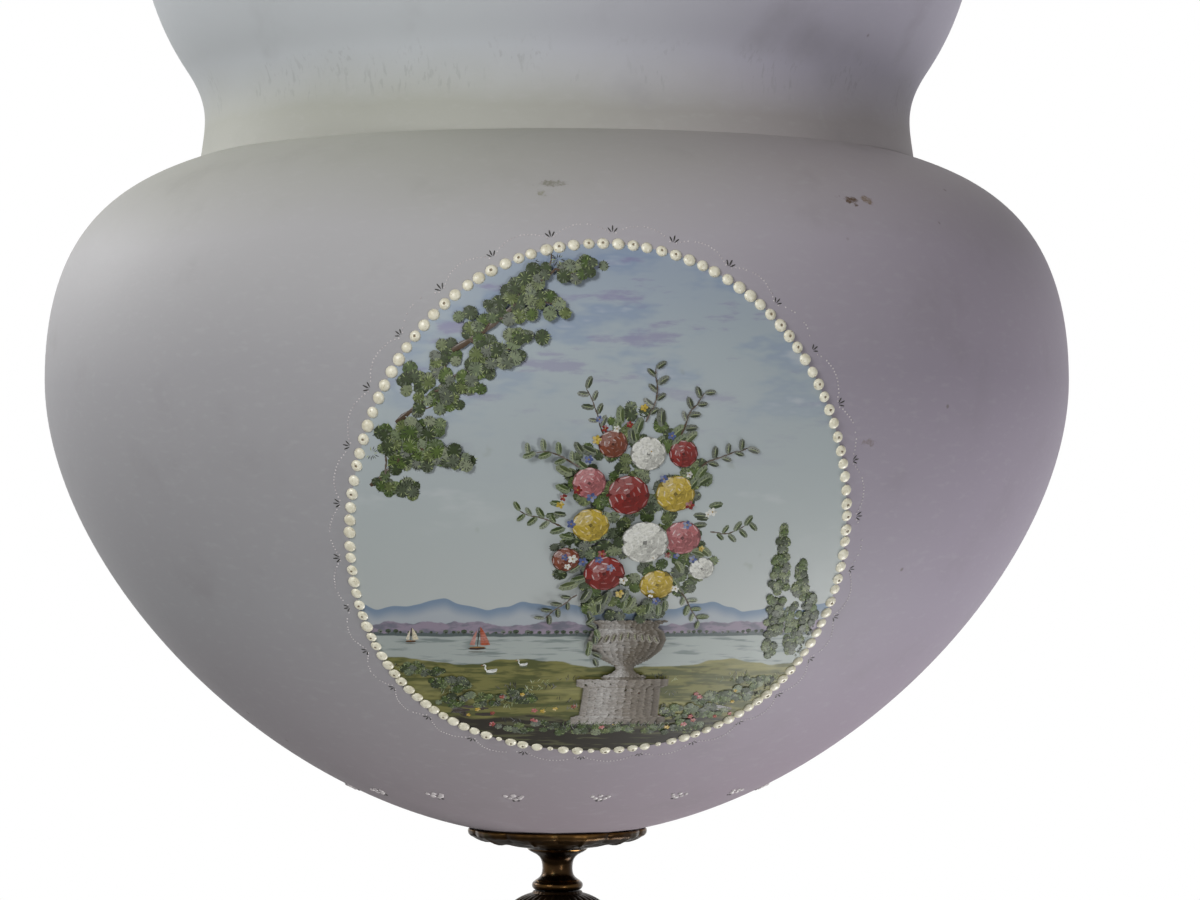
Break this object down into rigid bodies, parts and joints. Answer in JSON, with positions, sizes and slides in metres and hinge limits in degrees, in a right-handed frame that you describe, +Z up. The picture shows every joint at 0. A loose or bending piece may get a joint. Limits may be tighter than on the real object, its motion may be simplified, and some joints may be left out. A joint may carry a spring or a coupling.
{
  "type": "hanging lamp",
  "caption": "Opaline glass bowl lamp hung on chains from a ceiling canopy, with brass gallery, crown and turned bottom finial.",
  "frame": {"origin": "centre of the ceiling plate's upper face, on the lamp's axis", "axes": "+Z up towards the ceiling along the lamp's axis, -Y towards the painted front, +X to its right"},
  "size_m": [0.357, 0.357, 0.9263],
  "materials": {
    "opaline_glass": "satin lilac-grey opaline",
    "aged_brass": "dark aged brass, rubbed bright on its high places",
    "chain_brass": "aged brass wire",
    "felt": "dark wool felt",
    "plain_metal": "dull steel",
    "porcelain": "glazed white",
    "bulb_cap_metal": "plain",
    "bulb_glass": "pearl"
  },
  "bodies": {
    "ceiling": {"ceiling_plate": "aged_brass", "canopy": "aged_brass", "canopy_nut": "aged_brass", "ceiling_hook": "aged_brass"},
    "ring": {"suspension_ring": "aged_brass"},
    "crown": {"crown_plate": "aged_brass", "crown_swivel_eye": "aged_brass", "crown_drop_nut": "aged_brass", "crown_eye_a": "aged_brass", "crown_eye_b": "aged_brass", "crown_eye_c": "aged_brass"},
    "chain_a": {"chain_a_link_1": "chain_brass", "chain_a_link_2": "chain_brass", "chain_a_link_3": "chain_brass", "chain_a_link_4": "chain_brass", "chain_a_link_5": "chain_brass", "chain_a_link_6": "chain_brass", "chain_a_link_7": "chain_brass", "chain_a_hook": "chain_brass"},
    "chain_b": {"chain_b_link_1": "chain_brass", "chain_b_link_2": "chain_brass", "chain_b_link_3": "chain_brass", "chain_b_link_4": "chain_brass", "chain_b_link_5": "chain_brass", "chain_b_link_6": "chain_brass", "chain_b_link_7": "chain_brass", "chain_b_hook": "chain_brass"},
    "chain_c": {"chain_c_link_1": "chain_brass", "chain_c_link_2": "chain_brass", "chain_c_link_3": "chain_brass", "chain_c_link_4": "chain_brass", "chain_c_link_5": "chain_brass", "chain_c_link_6": "chain_brass", "chain_c_link_7": "chain_brass", "chain_c_hook": "chain_brass"},
    "bowl": {"gallery_ring": "aged_brass", "gallery_felt": "felt", "gallery_eye_a": "aged_brass", "gallery_eye_b": "aged_brass", "gallery_eye_c": "aged_brass", "grip_screw_a": "aged_brass", "grip_screw_b": "aged_brass", "grip_screw_c": "aged_brass", "glass_bowl": "opaline_glass", "bottom_plate": "aged_brass", "outer_felt": "felt", "inner_felt": "felt", "inner_plate": "plain_metal", "rod_nut": "plain_metal", "centre_rod": "plain_metal", "spool": "aged_brass", "lampholder_cap": "aged_brass", "lampholder_insert": "porcelain", "lampholder_shell": "aged_brass"},
    "bulb": {"bulb_cap": "bulb_cap_metal", "bulb_glass": "bulb_glass"},
    "finial": {"finial_ball": "aged_brass", "finial_tip": "aged_brass"}
  },
  "joints": [
    {"name": "ring_swing", "type": "hinge", "parent": "ceiling", "child": "ring", "pos_m": [0, 0, -0.08754], "axis": [1, 0, 0], "range_deg": [-20, 20]},
    {"name": "crown_swing", "type": "hinge", "parent": "ring", "child": "crown", "pos_m": [0, 0, -0.11504], "axis": [0, 1, 0], "range_deg": [-20, 20]},
    {"name": "bowl_sway", "type": "hinge", "parent": "crown", "child": "bowl", "pos_m": [0, 0, -0.02214], "axis": [1, 0, 0], "range_deg": [-3, 3]},
    {"name": "chain_a_swing", "type": "hinge", "parent": "crown", "child": "chain_a", "pos_m": [0, 0.045, -0.16614], "axis": [1, 0, 0], "range_deg": [-4.5, 4.5]},
    {"name": "chain_b_swing", "type": "hinge", "parent": "crown", "child": "chain_b", "pos_m": [-0.03897, -0.0225, -0.16614], "axis": [1, 0, 0], "range_deg": [-4.5, 4.5]},
    {"name": "chain_c_swing", "type": "hinge", "parent": "crown", "child": "chain_c", "pos_m": [0.03897, -0.0225, -0.16614], "axis": [1, 0, 0], "range_deg": [-4.5, 4.5]},
    {"name": "bulb_turn", "type": "hinge", "parent": "bowl", "child": "bulb", "pos_m": [0, 0, -0.8], "axis": [0, 0, 1], "range_deg": [0, 900]},
    {"name": "finial_turn", "type": "hinge", "parent": "bowl", "child": "finial", "pos_m": [0, 0, -0.89], "axis": [0, 0, 1], "range_deg": [-3960, 0]}
  ],
  "couplings": [
    {"joint": "chain_a_swing", "follows": "bowl_sway", "ratio": 1.436},
    {"joint": "chain_b_swing", "follows": "bowl_sway", "ratio": 1.436},
    {"joint": "chain_c_swing", "follows": "bowl_sway", "ratio": 1.436}
  ]
}
